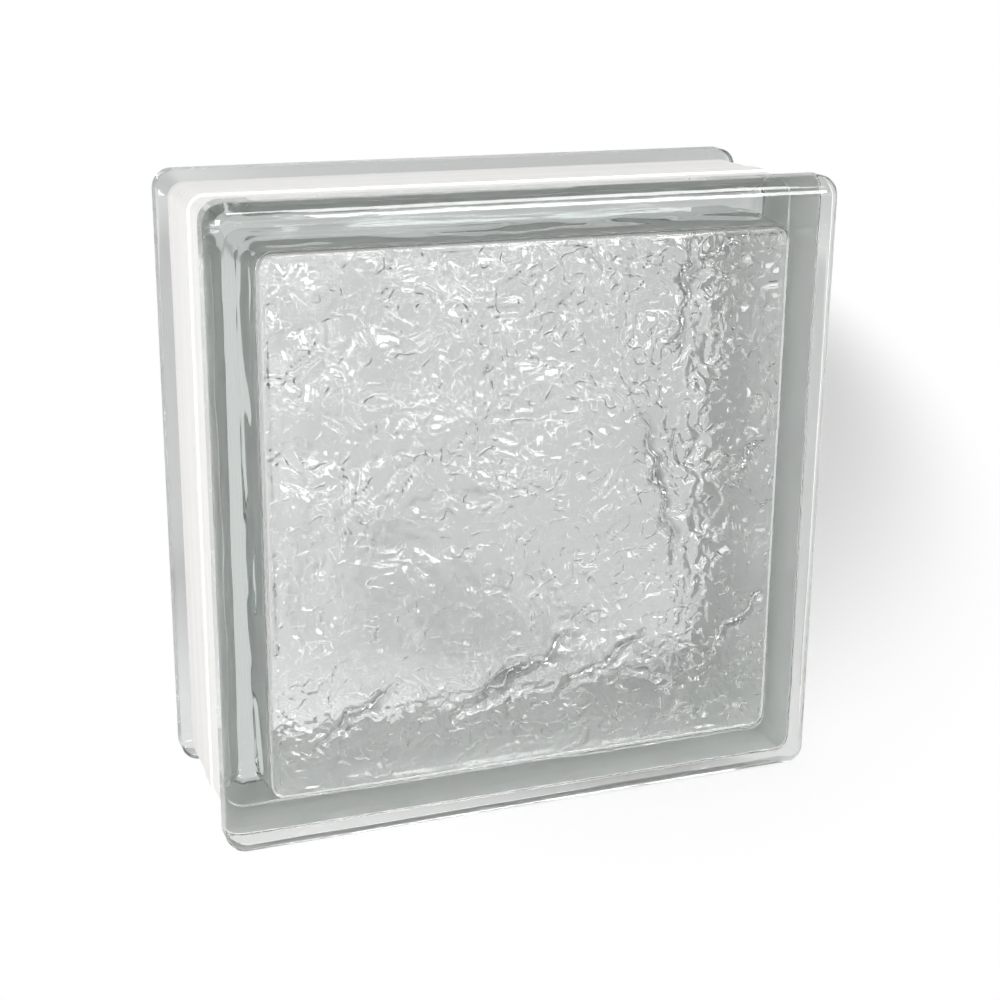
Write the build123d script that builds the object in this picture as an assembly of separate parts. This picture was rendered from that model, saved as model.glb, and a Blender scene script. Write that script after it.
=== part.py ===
from build123d import *
import os
from math import radians, tan

# Square hollow glass block for walls and windows.
# Two pressed glass trays are fused into one sealed hollow body. A raised rim runs round each
# face, and between the rims the four sides are set in to key the mortar. A thin white coating
# lies on the floor of that key. The origin is at the middle of the base, +Z is up, X runs across
# the face and the front face looks along -Y.

# Driving dimensions of the outside, in millimetres
block_width = 190.0
block_height = 190.0
block_depth = 80.0
rim_width = 10.5
rim_corner_radius = 6.0
face_edge_radius = 5.0

# Mortar key between the rims
key_depth = 3.5
key_slope_width = 2.5
key_corner_radius = 4.0
seam_width = 7.0
seam_height = 0.6

# Hollow inside
plate_thickness = 8.0
cavity_margin = 14.0
cavity_corner_radius = 5.0
cavity_fillet_radius = 2.0
wall_draft_degrees = 3.0

# White coating in the key
coating_margin = 1.0
coating_thickness = 0.5

# Sizes that follow from the driving ones
half_depth = block_depth / 2
key_width = block_depth - 2 * (rim_width + key_slope_width)
coating_width = key_width - 2 * coating_margin
half_cavity_depth = half_depth - plate_thickness
wall_draft = half_cavity_depth * tan(radians(wall_draft_degrees))


def outline(inset, corner_radius, from_middle):
    """Rounded outline, set in from the block's sides, at a distance in front of mid-depth."""
    plane = Plane(origin=(0, -from_middle, block_height / 2), z_dir=(0, -1, 0))
    return plane * RectangleRounded(block_width - 2 * inset, block_height - 2 * inset, corner_radius)


def band(inset, corner_radius, width):
    """Prism of the given outline, centred on the seam."""
    return extrude(outline(inset, corner_radius, 0), width / 2, both=True)


def outside_half():
    """Front half of the body without its hollow."""
    rim_back = half_depth - rim_width
    rim = extrude(outline(0, rim_corner_radius, rim_back), rim_width)
    rim = fillet(rim.faces().sort_by(Axis.Y)[0].edges(), face_edge_radius)
    slope_end = outline(key_depth, key_corner_radius, key_width / 2)
    slope = loft([slope_end, outline(0, rim_corner_radius, rim_back)], ruled=True)
    return rim + slope


def cavity_half():
    """Front half of the hollow, wider at the seam so that the press could draw out."""
    at_seam = outline(cavity_margin - wall_draft, cavity_corner_radius + wall_draft, 0)
    at_plate = outline(cavity_margin, cavity_corner_radius, half_cavity_depth)
    half = loft([at_seam, at_plate], ruled=True)
    return fillet(half.faces().sort_by(Axis.Y)[0].edges(), cavity_fillet_radius)


def both_halves(front):
    """The front half joined with its mirror image at the seam."""
    return front + mirror(front, Plane.XZ)


def glass_body():
    """The fused hollow block, with the seam standing a little proud in the key."""
    seam = band(key_depth - seam_height, key_corner_radius + seam_height, seam_width)
    outside = both_halves(outside_half()) + band(key_depth, key_corner_radius, key_width) + seam
    return outside - both_halves(cavity_half())


def edge_coating(body):
    """White coat on the key's floor and over the seam, seated on the glass."""
    floor_inset = key_depth - coating_thickness
    seam_inset = floor_inset - seam_height
    coat = band(floor_inset, key_corner_radius + coating_thickness, coating_width)
    over_seam_radius = key_corner_radius + seam_height + coating_thickness
    coat = coat + band(seam_inset, over_seam_radius, seam_width + 2 * coating_thickness)
    inside = band(key_depth, key_corner_radius, block_depth)
    return coat - inside - body


body = glass_body()
os.makedirs("parts", exist_ok=True)
export_step(body, "parts/glass_body.step")
export_step(edge_coating(body), "parts/edge_coating.step")
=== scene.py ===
"""Looks of the hollow glass block: clear glass with an ice texture pressed into the hollow's faces."""
import math

import bpy
import numpy as np
from mathutils import Matrix, Vector

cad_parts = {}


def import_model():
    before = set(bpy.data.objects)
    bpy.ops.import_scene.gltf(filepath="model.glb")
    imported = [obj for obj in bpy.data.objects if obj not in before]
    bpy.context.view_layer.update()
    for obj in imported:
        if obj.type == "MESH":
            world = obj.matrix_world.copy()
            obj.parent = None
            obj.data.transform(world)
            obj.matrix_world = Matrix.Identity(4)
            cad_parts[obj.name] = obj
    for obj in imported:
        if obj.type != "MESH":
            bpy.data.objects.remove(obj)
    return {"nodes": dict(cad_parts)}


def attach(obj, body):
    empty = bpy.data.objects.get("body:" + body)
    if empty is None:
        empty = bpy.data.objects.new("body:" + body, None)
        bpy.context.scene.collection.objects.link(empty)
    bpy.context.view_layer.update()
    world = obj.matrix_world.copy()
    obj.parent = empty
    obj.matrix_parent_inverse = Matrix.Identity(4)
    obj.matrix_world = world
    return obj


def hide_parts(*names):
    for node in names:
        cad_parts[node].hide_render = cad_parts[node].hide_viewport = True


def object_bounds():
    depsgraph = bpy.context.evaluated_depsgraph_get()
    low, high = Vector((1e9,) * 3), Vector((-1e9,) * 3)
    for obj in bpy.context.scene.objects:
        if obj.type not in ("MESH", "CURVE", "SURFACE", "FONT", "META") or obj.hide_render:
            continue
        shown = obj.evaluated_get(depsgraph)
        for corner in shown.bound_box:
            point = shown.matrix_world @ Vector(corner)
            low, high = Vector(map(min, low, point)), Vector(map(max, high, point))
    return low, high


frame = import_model()
cad_low, cad_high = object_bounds()

# Sizes of the block, in metres: the CAD box, and the same driving sizes as the source
WIDTH = cad_high.x - cad_low.x
DEPTH = cad_high.y - cad_low.y
HEIGHT = cad_high.z - cad_low.z
RIM_WIDTH = 0.0105
RIM_CORNER_RADIUS = 0.006
FACE_EDGE_RADIUS = 0.005
KEY_DEPTH = 0.0035
KEY_SLOPE_WIDTH = 0.0025
KEY_CORNER_RADIUS = 0.004
SEAM_WIDTH = 0.007
SEAM_HEIGHT = 0.0006
PLATE_THICKNESS = 0.008
CAVITY_MARGIN = 0.014
CAVITY_CORNER_RADIUS = 0.005
CAVITY_FILLET_RADIUS = 0.002
WALL_DRAFT_DEGREES = 3.0

# Sizes that follow from these: depth of the hollow's faces, end of its walls, and what their draft adds
FACE_LEVEL = DEPTH / 2 - PLATE_THICKNESS
WALL_END = FACE_LEVEL - CAVITY_FILLET_RADIUS
WALL_DRAFT = math.tan(math.radians(WALL_DRAFT_DEGREES)) * FACE_LEVEL

# Small roundings of the pressed glass, and how far it reaches into the coat, to be in optical contact
RIM_BACK_RADIUS = 0.0006
SLOPE_FOOT_RADIUS = 0.001
SEAM_RADIUS = 0.0004
CONTACT = 0.00015

# What the mesh tells the glass at each point: strength of the curls, strength of a crease, which also sets
# the painted shade along it, distance across it
MARKS = ("curls", "crease_and_painted_shade", "across")

# Fineness of the meshes
EDGE_STEPS = 8
CORNER_STEPS = 10
SIDE_STEPS = 4
RELIEF_CELLS = 190
FILLET_STEPS = 4
WALL_STEPS = 16

# Ice texture of the hollow's faces, in metres: where it fades out, and the step that its slope is taken over
RELIEF_FADE = 0.0012
SLOPE_STEP = 0.0002
FRONT_SEED = 11
BACK_SEED = 47

# Its heights and wave lengths, in millimetres, and how much of it is left in the quiet patches
MILLIMETRES = 1000
WOBBLE = 3
WOBBLE_LENGTH = 9
RAGGED_LENGTH = 3.7
BEND = 7
BEND_LENGTH = 29
SWELL_HEIGHTS = (0.80, 0.50)
LONG_SWELL = (36, 29)
SHORT_SWELL = (14, 17)
CRINKLE_HEIGHT = 0.55
CRINKLE = (6, 8)
FACET_HEIGHT = 0.30
FACET = (3.6, 4.2)
GRAIN_HEIGHT = 0.15
GRAIN = (2.4, 2.7)
DENSE_LENGTH = 27
ROUGH_LENGTH = 21
QUIET = 0.3

# Fine curls on it: length of each and of their patches, in millimetres, and what is left between the patches
CURL = (5.2, 4.4)
CURL_PATCH = (16, 13)
CURL_QUIET = 0.42

# Long folds of the front texture, in millimetres: height, half widths, and ends from the face's middle
FOLD_HEIGHT = 0.85
FOLD_WIDTH = 1.6
CREASE_WIDTH = 0.8
FRONT_FOLDS = (
    ((-24, -62), (19, -39)), ((9, -59), (40, -43)), ((-66, -65), (-42, -50)), ((57, -53), (79, -36)),
    ((34, 30), (48, -22)), ((48, 77), (46, 41)), ((50, 72), (65, 77)), ((66, 8), (75, 14)))

# Waves of the hollow's walls: height and fade in metres, lengths along and across the wall in millimetres
WAVE_HEIGHT = 0.0004
WAVE_FADE = 0.004
LONG_WAVE = (34, 10)
SHORT_WAVE = (11, 6)
WAVE_SEED = 83

# Clear glass: its surface, the painted shade along its creases and how wide it spreads, and the green of its
# depth
GLASS_IOR = 1.52
GLASS_SURFACE = (0.965, 0.97, 0.968, 1)
PAINTED_CREASE_SHADE = (0.10, 0.103, 0.105, 1)
PAINTED_SHADE_SPREAD = 0.9
GLASS_TINT = (0.40, 0.52, 0.47, 1)
GLASS_DENSITY = 5.5

# Bump of the glass: scale and width of the curls, scale of the waves, height of the lines beside the waves
CURL_SCALE = (140, 120, 170)
CURL_WIDTH = 0.085
WAVE_SCALE = (45, 200, 45)
CREASE_RISE = 1.5
LINE_RISE = 0.9
GLASS_BUMP = 0.00037
FACE_TILT = math.radians(80)

# White coat: its streaks from dark to light, its side on the glass, painted lighter to stand in for light
# that comes through the thin coat, and how rough it is
COAT_DARK = (0.79, 0.78, 0.76, 1)
COAT_LIGHT = (0.86, 0.855, 0.845, 1)
COAT_INSIDE_PAINTED_LIGHT = (0.965, 0.962, 0.95, 1)
COAT_ROUGHNESS = 0.55
COAT_BUMP = 0.0002
STREAK_SCALE = (9, 420, 9)
STREAK_RANGE = (0.3, 0.7)

# Floor, and where it keeps the block's shade, behind the block as the front lamps throw it
FLOOR_SIZE = 16
FLOOR_COLOUR = (0.75, 0.75, 0.75, 1)
FLOOR_ROUGHNESS = 0.6
FLOOR_SPECULAR = 0.2
SHADE_MIDDLE = (0.24, 0.5, 0)
SHADE_SIZE = (0.17, 0.5, 1)
SHADE_TURN = math.radians(-21)
SHADE_START = 0.8
SHADE_END = 1.3

# How much of the floor is clean white in the shade, how bright that white is through the glass, near and far
SHADE_WHITE = 0.07
GLASS_WHITE = 0.8
FAR_WHITE = 0.5
FAR_START = 0.8
FAR_END = 1.5

# Surroundings: sines of the heights where white ends and grey starts, and dimming at the right and in glass
HORIZON_TOP = 0.3
HORIZON_END = 0.6
SKY = 0.22
RIGHT_START = 0.2
RIGHT_END = 0.8
RIGHT_SIDE = 0.5
HORIZON_GLASS = 0.65
WHITE = (1, 1, 1, 1)

# Soft lamps: name, place, size, and brightness beside a white surface
LAMP_AIM = (0, 0, 0.1)
LAMPS = (
    ("key", (-0.75, -1.2, 0.45), (0.8, 0.55), 11.6),
    ("fill", (0.6, -1.1, 1.3), (0.65, 0.55), 15),
    ("front", (0.6, -1.3, 0.32), (0.6, 0.45), 14.5),
    ("back", (0.1, 1.5, 1.3), (1.4, 0.9), 1.3))

# Camera, fitted to the block's outline in the photo: focal length in pixels of its width, place and turns
PHOTO_WIDTH = 1000
FOCAL_PIXELS = 1847.7
SENSOR_WIDTH = 36
CAMERA_PLACE = (-0.19251, -0.51459, 0.26402)
CAMERA_YAW = math.radians(20.79)
CAMERA_PITCH = math.radians(17.77)
CAMERA_ROLL = math.radians(0.56)
CAMERA_NEAREST = 0.01

# Light paths: enough bounces for the glass, and a limit on stray sparks that still lets the lamps through
GLASS_BOUNCES = 18
GLOSSY_BOUNCES = 10
DIFFUSE_BOUNCES = 6
SPARK_LIMIT = 20


def smoothstep(low, high, x):
    """Zero below low, one above high, and a soft step between."""
    t = np.clip((x - low) / (high - low), 0, 1)
    return t * t * (3 - 2 * t)


def fade(t):
    """Smooth way from nothing to one, level at both ends."""
    return t * t * t * (t * (t * 6 - 15) + 10)


class Noise:
    """Seeded gradient noise in the plane, from about -1 to 1."""

    def __init__(self, seed, size=64):
        angles = np.random.default_rng(seed).uniform(0, 2 * math.pi, (size, size))
        self.gx, self.gy, self.size = np.cos(angles), np.sin(angles), size

    def __call__(self, x, y):
        x0, y0 = np.floor(x).astype(int), np.floor(y).astype(int)
        fx, fy = x - x0, y - y0
        u, v = fade(fx), fade(fy)

        def corner(dx, dy):
            i, j = (x0 + dx) % self.size, (y0 + dy) % self.size
            return self.gx[i, j] * (fx - dx) + self.gy[i, j] * (fy - dy)

        low = corner(0, 0) * (1 - u) + corner(1, 0) * u
        high = corner(0, 1) * (1 - u) + corner(1, 1) * u
        return 1.5 * (low * (1 - v) + high * v)


def stretched(noise, x, z, lengths):
    """A noise over places in millimetres, with a wave length for each way."""
    return noise(x / lengths[0], z / lengths[1])


def crest(value, sharpness, roundness=0.15):
    """Rounded ridges along the lines where a noise is zero."""
    off = np.sqrt(value ** 2 + roundness ** 2) - roundness
    return np.clip(1 - off, 0, 1) ** sharpness


# In the next functions, a whole number added to a place only takes another part of the same noise


def wobbled(x, z, seed):
    """Places of a face, in millimetres, shifted to and fro so that straight lines come out ragged."""
    a, b, c, d = (Noise(seed + k) for k in range(4))
    wide_x, wide_z = x / WOBBLE_LENGTH, z / WOBBLE_LENGTH
    fine_x, fine_z = x / RAGGED_LENGTH, z / RAGGED_LENGTH
    ragged_x = x + WOBBLE * b(wide_x, wide_z) + c(fine_x, fine_z)
    ragged_z = z + WOBBLE * a(wide_x, wide_z + 5) + d(fine_x, fine_z)
    return ragged_x, ragged_z


def beside_fold(x, z, start, end):
    """Share of the way along a fold, distance from it and signed distance across it."""
    way = np.subtract(end, start)
    from_x, from_z = x - start[0], z - start[1]
    share = np.clip((from_x * way[0] + from_z * way[1]) / (way @ way), 0, 1)
    off = np.hypot(from_x - share * way[0], from_z - share * way[1])
    across = (from_x * way[1] - from_z * way[0]) / np.hypot(*way)
    return share, off, across


def fold(x, z, ends):
    """Height of one long fold between two places of a face, highest at its middle."""
    share, off, _ = beside_fold(x, z, *ends)
    return FOLD_HEIGHT * np.exp(-(off / FOLD_WIDTH) ** 2) * np.sin(math.pi * (0.1 + 0.8 * share))


def crease_and_painted_shade(x, z, seed, folds):
    """Strength of the sharp line along the folds, and the distance across it in millimetres. The strength
    also sets the painted shade along the folds.
    """
    x, z = wobbled(x * MILLIMETRES, z * MILLIMETRES, seed)
    strength, distance = np.zeros_like(x), np.zeros_like(x)
    for ends in folds:
        share, off, across = beside_fold(x, z, *ends)
        here = np.sin(math.pi * share) * (1 - smoothstep(CREASE_WIDTH, 3 * CREASE_WIDTH, off))
        distance = np.where(here > strength, across, distance)
        strength = np.maximum(here, strength)
    return strength, distance


def ice_relief(x, z, seed, folds):
    """Height of the ice texture, in metres, over points of a face. Inside, lengths are millimetres."""
    a, b, c, d, e, f = (Noise(seed + k) for k in range(6))
    x, z = x * MILLIMETRES, z * MILLIMETRES
    ragged_x, ragged_z = wobbled(x, z, seed)
    bend_x = ragged_x + BEND * a(x / BEND_LENGTH, z / BEND_LENGTH)
    bend_z = ragged_z + BEND * b(x / BEND_LENGTH + 7, z / BEND_LENGTH)
    swell = SWELL_HEIGHTS[0] * stretched(c, bend_x, bend_z, LONG_SWELL)
    swell = swell + SWELL_HEIGHTS[1] * stretched(d, bend_x, bend_z, SHORT_SWELL)
    upper_right = 0.003 * z + 0.002 * x
    dense = smoothstep(-0.15, 0.5, c(x / DENSE_LENGTH + 11, z / DENSE_LENGTH) + upper_right)
    crinkle = CRINKLE_HEIGHT * crest(stretched(d, bend_x, bend_z, CRINKLE), 4)
    crinkle = crinkle * (QUIET + (1 - QUIET) * dense)
    rough = QUIET + (1 - QUIET) * smoothstep(-0.2, 0.4, a(x / ROUGH_LENGTH, z / ROUGH_LENGTH + 9))
    facets = FACET_HEIGHT * crest(stretched(e, bend_x, bend_z, FACET), 3, 0.25)
    facets = facets + GRAIN_HEIGHT * stretched(f, bend_x, bend_z, GRAIN)
    long_folds = sum(fold(ragged_x, ragged_z, ends) for ends in folds)
    return (swell + crinkle + facets * rough + long_folds) / MILLIMETRES


def curl_strength(x, z, seed):
    """How strong the fine curls are over a face: short, in patches, denser at the top and right."""
    a, b = Noise(seed + 6), Noise(seed + 7)
    x, z = x * MILLIMETRES, z * MILLIMETRES
    short = smoothstep(-0.15, 0.22, stretched(a, x, z, CURL))
    upper_right = 0.003 * z + 0.0015 * x
    patch = smoothstep(-0.2, 0.4, stretched(b, x, z, CURL_PATCH) + upper_right)
    return short * (CURL_QUIET + (1 - CURL_QUIET) * patch)


def wall_wave(x, y, z):
    """How far the pressed wall of the hollow swells outward, in metres."""
    a, b = Noise(WAVE_SEED), Noise(WAVE_SEED + 1)
    along = (x - z) * MILLIMETRES
    deep = y * MILLIMETRES
    wave = 0.7 * a(along / LONG_WAVE[0] + 9, deep / LONG_WAVE[1] + 9)
    wave = wave + 0.3 * b(along / SHORT_WAVE[0] + 9, deep / SHORT_WAVE[1] + 9)
    return WAVE_HEIGHT * wave * smoothstep(0, WAVE_FADE, WALL_END - np.abs(y))


def rounded_path(corners, steps):
    """Points and outward normals along a line through corners given as (inset, depth, radius)."""
    points, normals = [], []
    spots = [np.array(c[:2]) for c in corners]
    for before, here, after, corner in zip(spots, spots[1:], spots[2:], corners[1:]):
        come = (here - before) / np.linalg.norm(here - before)
        go = (after - here) / np.linalg.norm(after - here)
        turn = math.acos(np.clip(come @ go, -1, 1))
        side = math.copysign(1, come[0] * go[1] - come[1] * go[0])
        reach = corner[2] * math.tan(turn / 2)
        centre = here - come * reach + side * corner[2] * np.array([-come[1], come[0]])
        for k in range(steps + 1):
            angle = side * turn * k / steps
            tangent = np.array([
                come[0] * math.cos(angle) - come[1] * math.sin(angle),
                come[0] * math.sin(angle) + come[1] * math.cos(angle)])
            across = np.array([-tangent[1], tangent[0]])
            points.append(centre - side * corner[2] * across)
            normals.append(across)
    return np.array(points), np.array(normals)


def mirrored(points, normals):
    """A front half profile and its mirror image behind mid-depth, as one profile."""
    flip = np.array([1, -1])
    return np.vstack([points, (points * flip)[::-1]]), np.vstack([normals, (normals * flip)[::-1]])


def ring_places(corner_steps, side_steps):
    """(corner, angle, share along the side after it) for each point of a ring."""
    places = []
    for corner in range(4):
        places += [(corner, math.pi / 2 * k / corner_steps, 0.0) for k in range(corner_steps + 1)]
        places += [(corner, math.pi / 2, k / side_steps) for k in range(1, side_steps)]
    return places


def ring(inset, radius, places):
    """Points (x, z) and outward directions of a rounded outline set in from the block's sides."""
    half_x, half_z = WIDTH / 2 - inset, HEIGHT / 2 - inset
    signs = ((1, 1), (-1, 1), (-1, -1), (1, -1))
    points, ways = [], []
    for corner, angle, share in places:
        turn = angle + corner * math.pi / 2
        way = np.array([math.cos(turn), math.sin(turn)])
        centre = np.array(signs[corner]) * (half_x - radius, half_z - radius)
        following = np.array(signs[(corner + 1) % 4]) * (half_x - radius, half_z - radius)
        points.append(centre + (following - centre) * share + way * radius)
        ways.append(way)
    return np.array(points), np.array(ways)


class Skin:
    """Vertices, faces and normals of a mesh that grows ring by ring."""

    def __init__(self):
        self.vertices, self.normals, self.marks, self.faces = [], [], [], []
        self.count = 0

    def add(self, points, normals, marks=(0, 0, 0)):
        """Adds vertices, with what the glass has to know of them, and returns their numbers."""
        numbers = np.arange(self.count, self.count + len(points))
        self.vertices.append(points)
        self.normals.append(normals)
        self.marks.append(np.broadcast_to(marks, (len(points), len(MARKS))))
        self.count += len(points)
        return numbers

    def join(self, first, second):
        """Quads between two closed rings of the same length."""
        quads = np.stack([first, np.roll(first, -1), np.roll(second, -1), second], 1)
        self.faces += quads.tolist()

    def make(self, name, material):
        """The finished mesh as an object."""
        mesh = bpy.data.meshes.new(name)
        mesh.from_pydata(np.vstack(self.vertices).tolist(), [], self.faces)
        mesh.shade_smooth()
        mesh.normals_split_custom_set_from_vertices(np.vstack(self.normals).tolist())
        for label, values in zip(MARKS, np.vstack(self.marks).T):
            mesh.attributes.new(label, "FLOAT", "POINT").data.foreach_set("value", values.copy())
        mesh.materials.append(material)
        made = bpy.data.objects.new(name, mesh)
        bpy.context.scene.collection.objects.link(made)
        return made


def outside_radius(inset, y):
    """Corner radius of the outside at a depth: that of the rims, of the key, or between them on the slope."""
    slope_end = DEPTH / 2 - RIM_WIDTH - KEY_SLOPE_WIDTH
    if abs(y) >= DEPTH / 2 - RIM_WIDTH:
        return RIM_CORNER_RADIUS - inset
    if abs(y) <= slope_end:
        return KEY_CORNER_RADIUS + KEY_DEPTH - inset
    return RIM_CORNER_RADIUS + (KEY_CORNER_RADIUS - RIM_CORNER_RADIUS) * inset / KEY_DEPTH


def outside_profile():
    """Points and normals of the outside's section, from the front over rims, key and seam to the back."""
    front = -DEPTH / 2
    rim_back = front + RIM_WIDTH
    key_floor = KEY_DEPTH - CONTACT
    half_seam = SEAM_WIDTH / 2
    corners = [
        (FACE_EDGE_RADIUS * 2, front, 0),
        (0, front, FACE_EDGE_RADIUS),
        (0, rim_back, RIM_BACK_RADIUS),
        (key_floor, rim_back + KEY_SLOPE_WIDTH, SLOPE_FOOT_RADIUS),
        (key_floor, -half_seam, SEAM_RADIUS),
        (key_floor - SEAM_HEIGHT, -half_seam + SEAM_HEIGHT, SEAM_RADIUS),
        (key_floor - SEAM_HEIGHT, 0, 0)]
    return mirrored(*rounded_path(corners, EDGE_STEPS))


def add_outside(skin):
    """The block's outside, ring by ring, closed by a flat face at the front and the back."""
    places = ring_places(CORNER_STEPS, SIDE_STEPS)
    rings = []
    for (inset, y), (toward, along) in zip(*outside_profile()):
        xz, ways = ring(inset, outside_radius(inset, y), places)
        spots = np.column_stack([xz[:, 0], np.full(len(xz), y), xz[:, 1] + HEIGHT / 2])
        faces = np.column_stack([-toward * ways[:, 0], np.full(len(xz), along), -toward * ways[:, 1]])
        rings.append(skin.add(spots, faces))
    for first, second in zip(rings, rings[1:]):
        skin.join(second, first)
    skin.faces.append(rings[0].tolist())
    skin.faces.append(rings[-1][::-1].tolist())


def on_rounded(u, v, inset, radius):
    """Maps a square from -1 to 1 onto a rounded outline: points (x, z) and their way out of a corner."""
    x, z = u * (WIDTH / 2 - inset), v * (HEIGHT / 2 - inset)
    out_x = np.abs(x) - (WIDTH / 2 - inset - radius)
    out_z = np.abs(z) - (HEIGHT / 2 - inset - radius)
    corner = (out_x > 0) & (out_z > 0)
    length = np.hypot(out_x, out_z) + 1e-12
    pull = np.where(corner, np.maximum(out_x, out_z) / length, 1.0)
    new_x = np.sign(x) * (np.abs(x) + np.where(corner, out_x * (pull - 1), 0))
    new_z = np.sign(z) * (np.abs(z) + np.where(corner, out_z * (pull - 1), 0))
    side_x = np.where(np.abs(u) >= np.abs(v), np.sign(u), 0)
    side_z = np.where(np.abs(u) < np.abs(v), np.sign(v), 0)
    way_x = np.where(corner, np.sign(x) * out_x / length, side_x)
    way_z = np.where(corner, np.sign(z) * out_z / length, side_z)
    return np.column_stack([new_x, new_z]), np.column_stack([way_x, way_z])


def add_relief(skin, u, v, level, seed, folds):
    """One textured face of the hollow, as a grid at the given depth. Returns its vertex numbers."""
    inset = CAVITY_MARGIN + CAVITY_FILLET_RADIUS
    xz, _ = on_rounded(u, v, inset, CAVITY_CORNER_RADIUS - CAVITY_FILLET_RADIUS)
    x, z = xz.T
    inward = -math.copysign(1, level)

    def height(px, pz):
        edge = np.minimum(WIDTH / 2 - inset - np.abs(px), HEIGHT / 2 - inset - np.abs(pz))
        return ice_relief(px, pz, seed, folds) * smoothstep(0, RELIEF_FADE, edge)

    rise = height(x, z)
    slope_x = (height(x + SLOPE_STEP, z) - height(x - SLOPE_STEP, z)) / (2 * SLOPE_STEP)
    slope_z = (height(x, z + SLOPE_STEP) - height(x, z - SLOPE_STEP)) / (2 * SLOPE_STEP)
    spots = np.column_stack([x, level + inward * rise, z + HEIGHT / 2])
    ways = np.column_stack([-slope_x, np.full(len(x), inward), -slope_z])
    marks = np.column_stack([curl_strength(x, z, seed), *crease_and_painted_shade(x, z, seed, folds)])
    return skin.add(spots, ways / np.linalg.norm(ways, axis=1)[:, None], marks)


def wall_profile():
    """(inset, depth) of the hollow's wall from the front plate to the back plate, fillets and all."""
    turns = np.linspace(0, math.pi / 2, FILLET_STEPS + 1)
    fillet = CAVITY_FILLET_RADIUS * (1 - np.sin(turns))
    rise = CAVITY_FILLET_RADIUS * (1 - np.cos(turns))
    front = [(CAVITY_MARGIN + f, -FACE_LEVEL + r) for f, r in zip(fillet, rise)]
    depths = np.linspace(-WALL_END, WALL_END, WALL_STEPS + 1)[1:-1]
    middle = [(CAVITY_MARGIN - WALL_DRAFT * (1 - abs(y) / WALL_END), y) for y in depths]
    return front + middle + [(inset, -y) for inset, y in front[::-1]]


def add_wall(skin, u, v, front_ring, back_ring):
    """The hollow's wavy wall between the edges of its two faces."""
    rings = [front_ring]
    for inset, y in wall_profile()[1:-1]:
        xz, ways = on_rounded(u, v, inset, CAVITY_CORNER_RADIUS + CAVITY_MARGIN - inset)
        xz = xz + ways * wall_wave(xz[:, 0], np.full(len(xz), y), xz[:, 1])[:, None]
        spots = np.column_stack([xz[:, 0], np.full(len(xz), y), xz[:, 1] + HEIGHT / 2])
        rings.append(skin.add(spots, np.zeros_like(spots)))
    rings.append(back_ring)
    for first, second in zip(rings, rings[1:]):
        skin.join(first, second)


def add_hollow(skin):
    """The sealed hollow, with wavy walls and the ice texture on its front and back faces."""
    n = RELIEF_CELLS
    share = np.linspace(-1, 1, n + 1)
    u, v = (g.ravel() for g in np.meshgrid(share, share, indexing="ij"))
    number = np.arange((n + 1) ** 2).reshape(n + 1, n + 1)
    loop = np.concatenate([number[:-1, 0], number[-1, :-1], number[:0:-1, -1], number[0, :0:-1]])
    front = add_relief(skin, u, v, -FACE_LEVEL, FRONT_SEED, FRONT_FOLDS)
    back = add_relief(skin, u, v, FACE_LEVEL, BACK_SEED, ())
    cells = [number[:-1, :-1], number[1:, :-1], number[1:, 1:], number[:-1, 1:]]
    quads = np.stack(cells, -1).reshape(-1, 4)
    skin.faces += front[quads[:, ::-1]].tolist()
    skin.faces += back[quads].tolist()
    add_wall(skin, u[loop], v[loop], front[loop], back[loop])


def node_material(name):
    """A new material with its nodes, its links and its shader."""
    material = bpy.data.materials.new(name)
    material.use_nodes = True
    nodes = material.node_tree.nodes
    return material, nodes, material.node_tree.links, nodes["Principled BSDF"]


def feed(links, slot, value):
    """Links another socket to a socket, or sets it to a number or colour."""
    if isinstance(value, bpy.types.NodeSocket):
        links.new(value, slot)
    else:
        slot.default_value = value


def math_node(nodes, links, operation, *values):
    """One step of arithmetic on sockets or numbers."""
    made = nodes.new("ShaderNodeMath")
    made.operation = operation
    for slot, value in zip(made.inputs, values):
        feed(links, slot, value)
    return made.outputs["Value"]


def colour_mix(nodes, links, factor, first, second):
    """A colour between two, which are sockets or colours."""
    made = nodes.new("ShaderNodeMix")
    made.data_type = "RGBA"
    feed(links, made.inputs["Factor"], factor)
    feed(links, made.inputs["A"], first)
    feed(links, made.inputs["B"], second)
    return made.outputs["Result"]


def soft_step(nodes, links, value, low, high):
    """Nothing where a value is low, one where it is high, and a soft step between."""
    made = nodes.new("ShaderNodeMapRange")
    made.interpolation_type = "SMOOTHSTEP"
    made.inputs["From Min"].default_value = low
    made.inputs["From Max"].default_value = high
    links.new(value, made.inputs["Value"])
    return made.outputs["Result"]


def mapped_noise(nodes, links, scale, detail):
    """Noise over the object's own coordinates, with a scale for each axis, and its mapping."""
    place = nodes.new("ShaderNodeTexCoord")
    mapping = nodes.new("ShaderNodeMapping")
    mapping.inputs["Scale"].default_value = scale
    noise = nodes.new("ShaderNodeTexNoise")
    noise.inputs["Scale"].default_value = 1.0
    noise.inputs["Detail"].default_value = detail
    links.new(place.outputs["Object"], mapping.inputs["Vector"])
    links.new(mapping.outputs["Vector"], noise.inputs["Vector"])
    return noise, mapping


def face_noise(nodes, links, scale, detail):
    """Noise over the block's face, a little tilted, so that it differs from the front to the back."""
    noise, mapping = mapped_noise(nodes, links, scale, detail)
    noise.noise_dimensions = "2D"
    mapping.inputs["Rotation"].default_value = (FACE_TILT, 0, 0)
    return noise.outputs["Fac"]


def bump(nodes, links, height, depth):
    """Fine unevenness of a surface, from a height between nothing and a depth in metres."""
    made = nodes.new("ShaderNodeBump")
    made.inputs["Strength"].default_value = 1.0
    made.inputs["Distance"].default_value = depth
    links.new(height, made.inputs["Height"])
    return made.outputs["Normal"]


def point_mark(nodes, name):
    """What the mesh says of a point."""
    made = nodes.new("ShaderNodeAttribute")
    made.attribute_name = name
    return made.outputs["Fac"]


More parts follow.
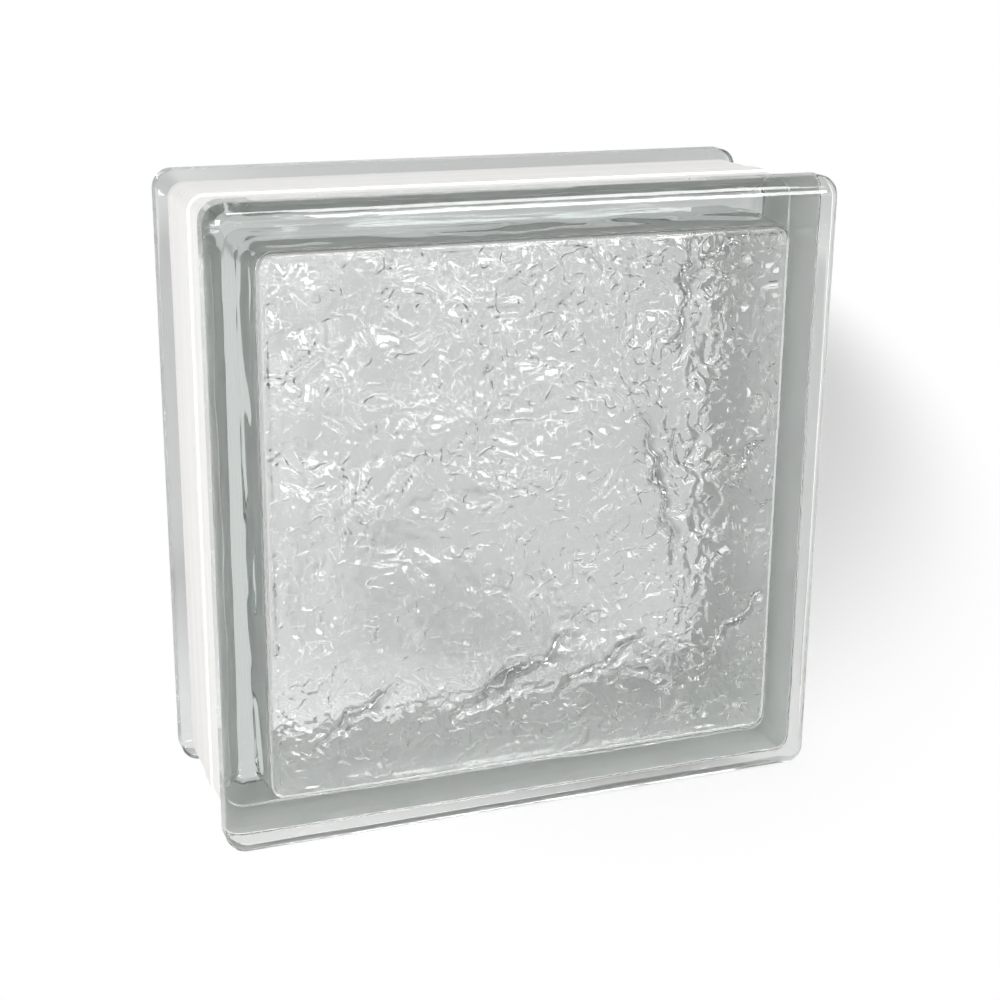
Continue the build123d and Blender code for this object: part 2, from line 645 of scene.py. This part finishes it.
def thin_line(nodes, links, distance, width, strength):
    """A ridge of a strength along the line where a signed distance is nothing."""
    off = math_node(nodes, links, "ABSOLUTE", distance)
    line = math_node(nodes, links, "SUBTRACT", 1.0, soft_step(nodes, links, off, 0.0, width))
    return math_node(nodes, links, "MULTIPLY", line, strength)


def clear_glass():
    """Clear pressed glass, green in its depth, with fine curls, painted shade along its creases, and uneven
    surfaces.
    """
    material, nodes, links, shader = node_material("clear_glass")
    shader.inputs["Roughness"].default_value = 0.0
    shader.inputs["IOR"].default_value = GLASS_IOR
    shader.inputs["Transmission Weight"].default_value = 1.0
    from_curl = math_node(nodes, links, "SUBTRACT", face_noise(nodes, links, CURL_SCALE, 1.0), 0.5)
    curls = thin_line(nodes, links, from_curl, CURL_WIDTH, point_mark(nodes, "curls"))
    creased = point_mark(nodes, "crease_and_painted_shade")
    folds = thin_line(nodes, links, point_mark(nodes, "across"), CREASE_WIDTH, creased)
    # Painted shade: the glass colour is darkened on the crease lines and in a wider band round them, standing
    # in for the shade that refraction gives the folds
    grey = math_node(nodes, links, "MULTIPLY", creased, PAINTED_SHADE_SPREAD)
    dark = math_node(nodes, links, "MAXIMUM", folds, grey)
    colour = colour_mix(nodes, links, dark, GLASS_SURFACE, PAINTED_CREASE_SHADE)
    links.new(colour, shader.inputs["Base Color"])
    waves = face_noise(nodes, links, WAVE_SCALE, 0.0)
    lines = math_node(nodes, links, "MULTIPLY_ADD", folds, CREASE_RISE, curls)
    height = math_node(nodes, links, "MULTIPLY_ADD", lines, LINE_RISE, waves)
    links.new(bump(nodes, links, height, GLASS_BUMP), shader.inputs["Normal"])
    tint = nodes.new("ShaderNodeVolumeAbsorption")
    tint.inputs["Color"].default_value = GLASS_TINT
    tint.inputs["Density"].default_value = GLASS_DENSITY
    links.new(tint.outputs["Volume"], nodes["Material Output"].inputs["Volume"])
    return material


def faces_outward(nodes, links):
    """One where the coat looks away from the block's middle, nothing where it lies on the glass."""
    place = nodes.new("ShaderNodeTexCoord")
    middle = nodes.new("ShaderNodeVectorMath")
    middle.operation = "SUBTRACT"
    middle.inputs[1].default_value = (0, 0, HEIGHT / 2)
    across = nodes.new("ShaderNodeVectorMath")
    across.operation = "DOT_PRODUCT"
    links.new(place.outputs["Object"], middle.inputs[0])
    links.new(middle.outputs["Vector"], across.inputs[0])
    links.new(place.outputs["Normal"], across.inputs[1])
    return math_node(nodes, links, "GREATER_THAN", across.outputs["Value"], 0.0)


def white_coating():
    """Matte white coat, brushed on in streaks along the sides, with painted light where it lies on the glass:
    whiter there, standing in for light that comes through the thin coat.
    """
    material, nodes, links, shader = node_material("white_coating")
    shader.inputs["Roughness"].default_value = COAT_ROUGHNESS
    noise, _ = mapped_noise(nodes, links, STREAK_SCALE, 2.0)
    streaks = noise.outputs["Fac"]
    ramp = nodes.new("ShaderNodeValToRGB")
    for stop, position, colour in zip(ramp.color_ramp.elements, STREAK_RANGE, (COAT_DARK, COAT_LIGHT)):
        stop.position = position
        stop.color = colour
    links.new(streaks, ramp.inputs["Fac"])
    outward = faces_outward(nodes, links)
    # Painted light: the side on the glass is whiter than the outside, standing in for light that comes
    # through the thin coat
    colour = colour_mix(nodes, links, outward, COAT_INSIDE_PAINTED_LIGHT, ramp.outputs["Color"])
    links.new(colour, shader.inputs["Base Color"])
    links.new(bump(nodes, links, streaks, COAT_BUMP), shader.inputs["Normal"])
    return material


def shade_distance(nodes, links, place):
    """Distance of a place of the floor from the middle of the shade, about one at the shade's edge."""
    shade = nodes.new("ShaderNodeMapping")
    shade.vector_type = "TEXTURE"
    shade.inputs["Location"].default_value = SHADE_MIDDLE
    shade.inputs["Rotation"].default_value = (0, 0, SHADE_TURN)
    shade.inputs["Scale"].default_value = SHADE_SIZE
    distance = nodes.new("ShaderNodeVectorMath")
    distance.operation = "LENGTH"
    links.new(place, shade.inputs["Vector"])
    links.new(shade.outputs["Vector"], distance.inputs[0])
    return distance.outputs["Value"]


def white_share(nodes, links, place, path):
    """How much of the floor a ray sees as clean white: nearly nothing in the shade, all away from it."""
    away = soft_step(nodes, links, shade_distance(nodes, links, place), SHADE_START, SHADE_END)
    away = math_node(nodes, links, "MULTIPLY_ADD", away, 1 - SHADE_WHITE, SHADE_WHITE)
    seen = math_node(nodes, links, "MAXIMUM", path["Is Camera Ray"], path["Is Glossy Ray"])
    seen = math_node(nodes, links, "MAXIMUM", seen, path["Is Transmission Ray"])
    return math_node(nodes, links, "MULTIPLY", seen, away)


def white_level(nodes, links, place, path):
    """How bright the clean white is: one, or less through the glass, and less again far behind the block."""
    parts = nodes.new("ShaderNodeSeparateXYZ")
    links.new(place, parts.inputs["Vector"])
    far = soft_step(nodes, links, parts.outputs["Y"], FAR_START, FAR_END)
    loss = math_node(nodes, links, "MULTIPLY_ADD", far, FAR_WHITE - GLASS_WHITE, GLASS_WHITE - 1)
    return math_node(nodes, links, "MULTIPLY_ADD", path["Is Transmission Ray"], loss, 1.0)


def white_floor():
    """Pale floor, which keeps the block's shadow and fades to clean white away from it."""
    material, nodes, links, shader = node_material("floor")
    shader.inputs["Base Color"].default_value = FLOOR_COLOUR
    shader.inputs["Roughness"].default_value = FLOOR_ROUGHNESS
    shader.inputs["Specular IOR Level"].default_value = FLOOR_SPECULAR
    white = nodes.new("ShaderNodeEmission")
    place = nodes.new("ShaderNodeTexCoord").outputs["Object"]
    path = nodes.new("ShaderNodeLightPath").outputs
    mix = nodes.new("ShaderNodeMixShader")
    links.new(white_level(nodes, links, place, path), white.inputs["Strength"])
    links.new(white_share(nodes, links, place, path), mix.inputs["Fac"])
    links.new(shader.outputs["BSDF"], mix.inputs[1])
    links.new(white.outputs["Emission"], mix.inputs[2])
    links.new(mix.outputs["Shader"], nodes["Material Output"].inputs["Surface"])
    return material


def floor():
    """Plain floor under the block."""
    bpy.ops.mesh.primitive_plane_add(size=FLOOR_SIZE, location=(0, 0, 0))
    made = bpy.context.object
    made.name = "floor"
    made.data.materials.append(white_floor())


def lamp(name, place, size, brightness):
    """A soft rectangular lamp that looks at the block, as bright as given beside a white surface."""
    light = bpy.data.lights.new(name, "AREA")
    light.shape = "RECTANGLE"
    light.size, light.size_y = size
    light.energy = brightness * math.pi * size[0] * size[1]
    made = bpy.data.objects.new(name, light)
    made.location = place
    made.visible_camera = False
    made.rotation_euler = (Vector(LAMP_AIM) - Vector(place)).to_track_quat("-Z", "Y").to_euler()
    bpy.context.scene.collection.objects.link(made)


def world():
    """Soft surroundings: white along the horizon, grey above, dimmer on the right and through the glass."""
    surroundings = bpy.data.worlds.new("surroundings")
    bpy.context.scene.world = surroundings
    surroundings.use_nodes = True
    nodes, links = surroundings.node_tree.nodes, surroundings.node_tree.links
    way = nodes.new("ShaderNodeTexCoord").outputs["Generated"]
    path = nodes.new("ShaderNodeLightPath").outputs
    parts = nodes.new("ShaderNodeSeparateXYZ")
    links.new(way, parts.inputs["Vector"])
    above = soft_step(nodes, links, parts.outputs["Z"], HORIZON_TOP, HORIZON_END)
    level = math_node(nodes, links, "MULTIPLY_ADD", above, SKY - 1, 1.0)
    right = soft_step(nodes, links, parts.outputs["X"], RIGHT_START, RIGHT_END)
    dim = math_node(nodes, links, "MULTIPLY_ADD", right, RIGHT_SIDE - 1, 1.0)
    dim = math_node(nodes, links, "MAXIMUM", dim, path["Is Camera Ray"])
    loss = math_node(nodes, links, "MULTIPLY_ADD", path["Is Transmission Ray"], HORIZON_GLASS - 1, 1.0)
    strength = math_node(nodes, links, "MULTIPLY", level, dim)
    strength = math_node(nodes, links, "MULTIPLY", strength, loss)
    links.new(strength, nodes["Background"].inputs["Strength"])
    nodes["Background"].inputs["Color"].default_value = WHITE


def camera():
    """Camera at the photo's place, fitted to the block's outline."""
    data = bpy.data.cameras.new("camera")
    made = bpy.data.objects.new("camera", data)
    bpy.context.scene.collection.objects.link(made)
    data.sensor_width = SENSOR_WIDTH
    data.lens = FOCAL_PIXELS / PHOTO_WIDTH * SENSOR_WIDTH
    data.clip_start = CAMERA_NEAREST
    level = math.cos(CAMERA_PITCH)
    ahead = Vector((math.sin(CAMERA_YAW) * level, math.cos(CAMERA_YAW) * level, -math.sin(CAMERA_PITCH)))
    side = Vector((math.cos(CAMERA_YAW), -math.sin(CAMERA_YAW), 0))
    above = side.cross(ahead)
    right = side * math.cos(CAMERA_ROLL) + above * math.sin(CAMERA_ROLL)
    up = above * math.cos(CAMERA_ROLL) - side * math.sin(CAMERA_ROLL)
    rows = [(right[k], up[k], -ahead[k], CAMERA_PLACE[k]) for k in range(3)]
    made.matrix_world = Matrix((*rows, (0, 0, 0, 1)))
    bpy.context.scene.camera = made


def light_paths():
    """Plain view of the colours, and enough bounces for light to find its way through the glass."""
    scene = bpy.context.scene
    scene.view_settings.view_transform = "Standard"
    scene.cycles.max_bounces = GLASS_BOUNCES
    scene.cycles.transmission_bounces = GLASS_BOUNCES
    scene.cycles.glossy_bounces = GLOSSY_BOUNCES
    scene.cycles.diffuse_bounces = DIFFUSE_BOUNCES
    scene.cycles.sample_clamp_indirect = SPARK_LIMIT


light_paths()
skin = Skin()
add_outside(skin)
add_hollow(skin)
glass = skin.make("pressed_glass", clear_glass())
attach(glass, "root")
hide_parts("glass_body")
coating = frame["nodes"]["edge_coating"]
coating.data.materials.clear()
coating.data.materials.append(white_coating())
floor()
world()
for name, place, size, brightness in LAMPS:
    lamp(name, place, size, brightness)
camera()
